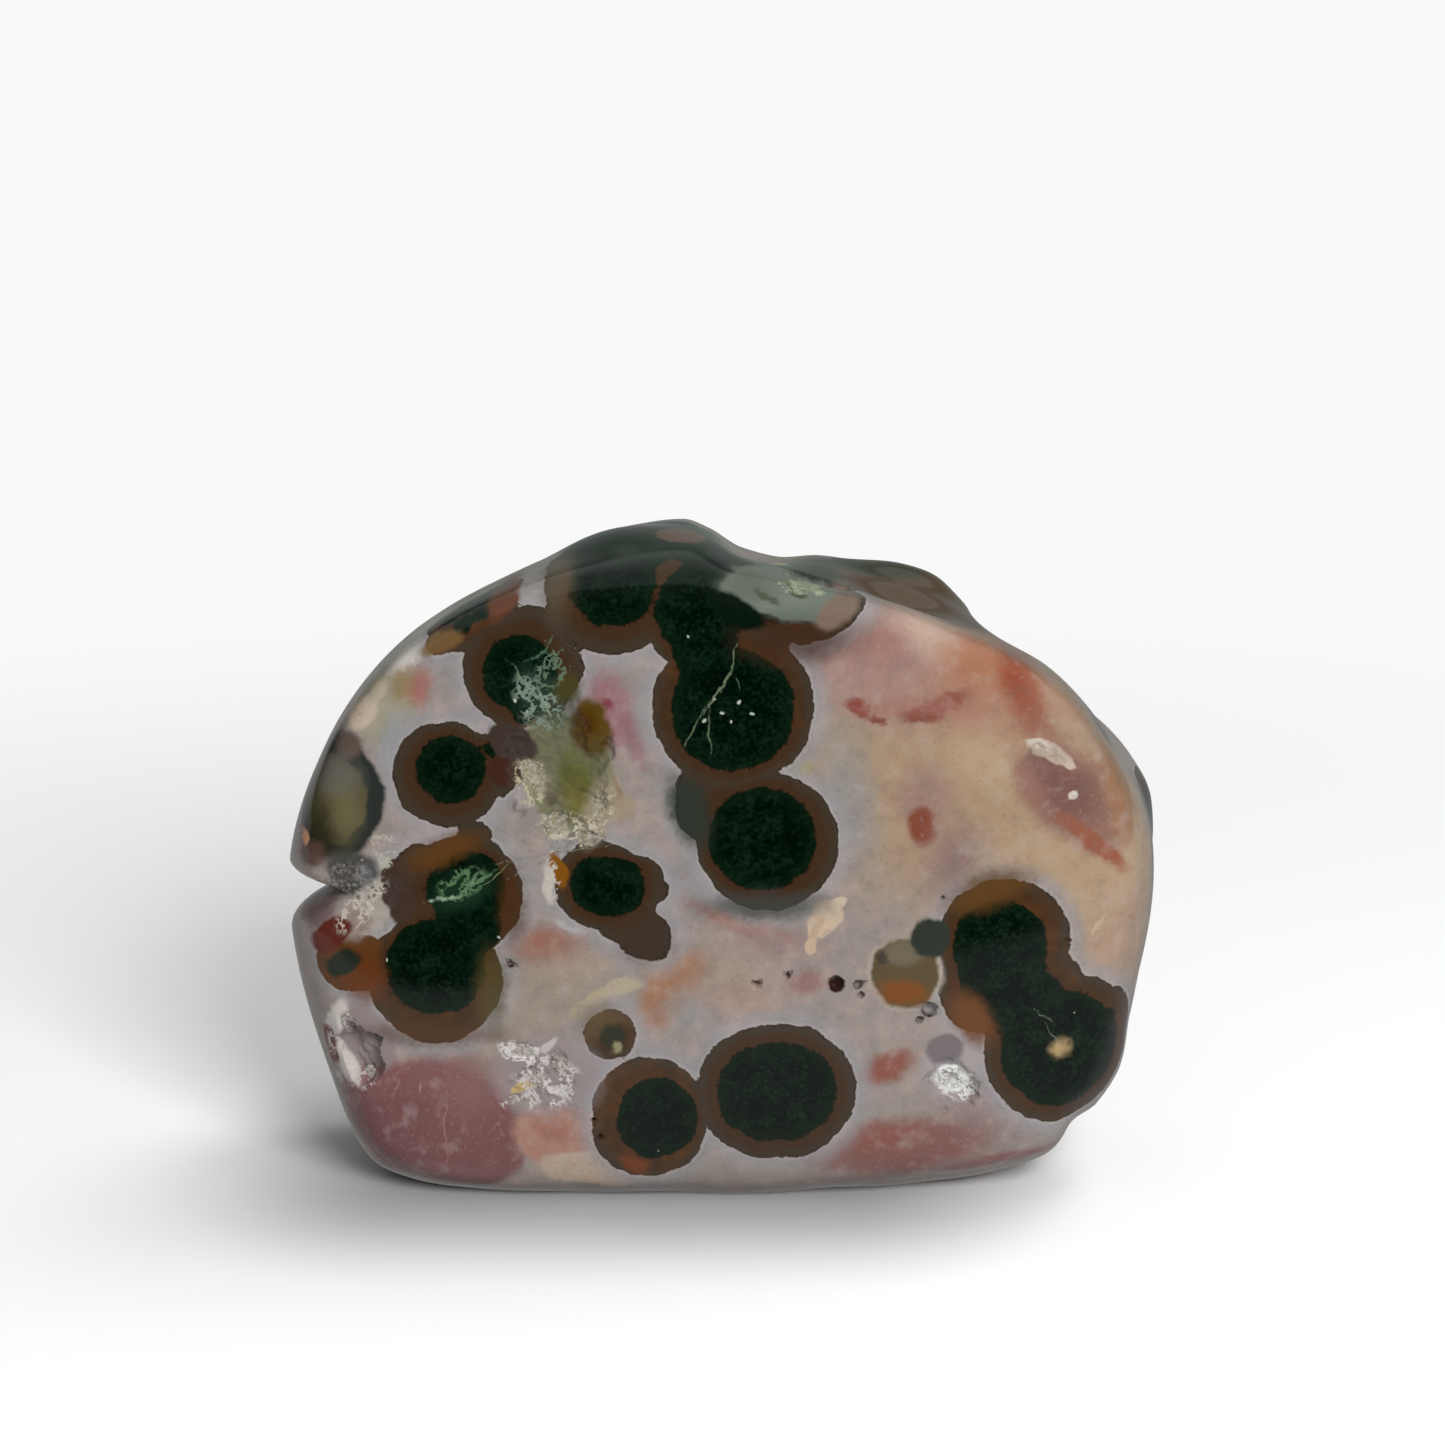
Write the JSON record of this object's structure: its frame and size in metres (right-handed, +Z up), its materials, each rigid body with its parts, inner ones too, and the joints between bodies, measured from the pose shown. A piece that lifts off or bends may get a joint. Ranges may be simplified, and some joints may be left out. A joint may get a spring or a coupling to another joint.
{
  "type": "polished half-moon stone",
  "caption": "Upright half-moon slab of polished orbicular jasper that stands on a flat sawn base, with a cleft in one side and a hump behind the brow.",
  "frame": {"origin": "centre of the bounding box on the plane that the base stands on", "axes": "+Z up, +X along the stone's length, the polished front face looks towards -Y"},
  "size_m": [0.0806, 0.0258, 0.0611],
  "materials": {
    "polished_jasper": "polished chalcedony, pale lilac and pink ground with dark green eyes in brown rings"
  },
  "bodies": {
    "root": {"half_moon": "polished_jasper"}
  },
  "joints": []
}
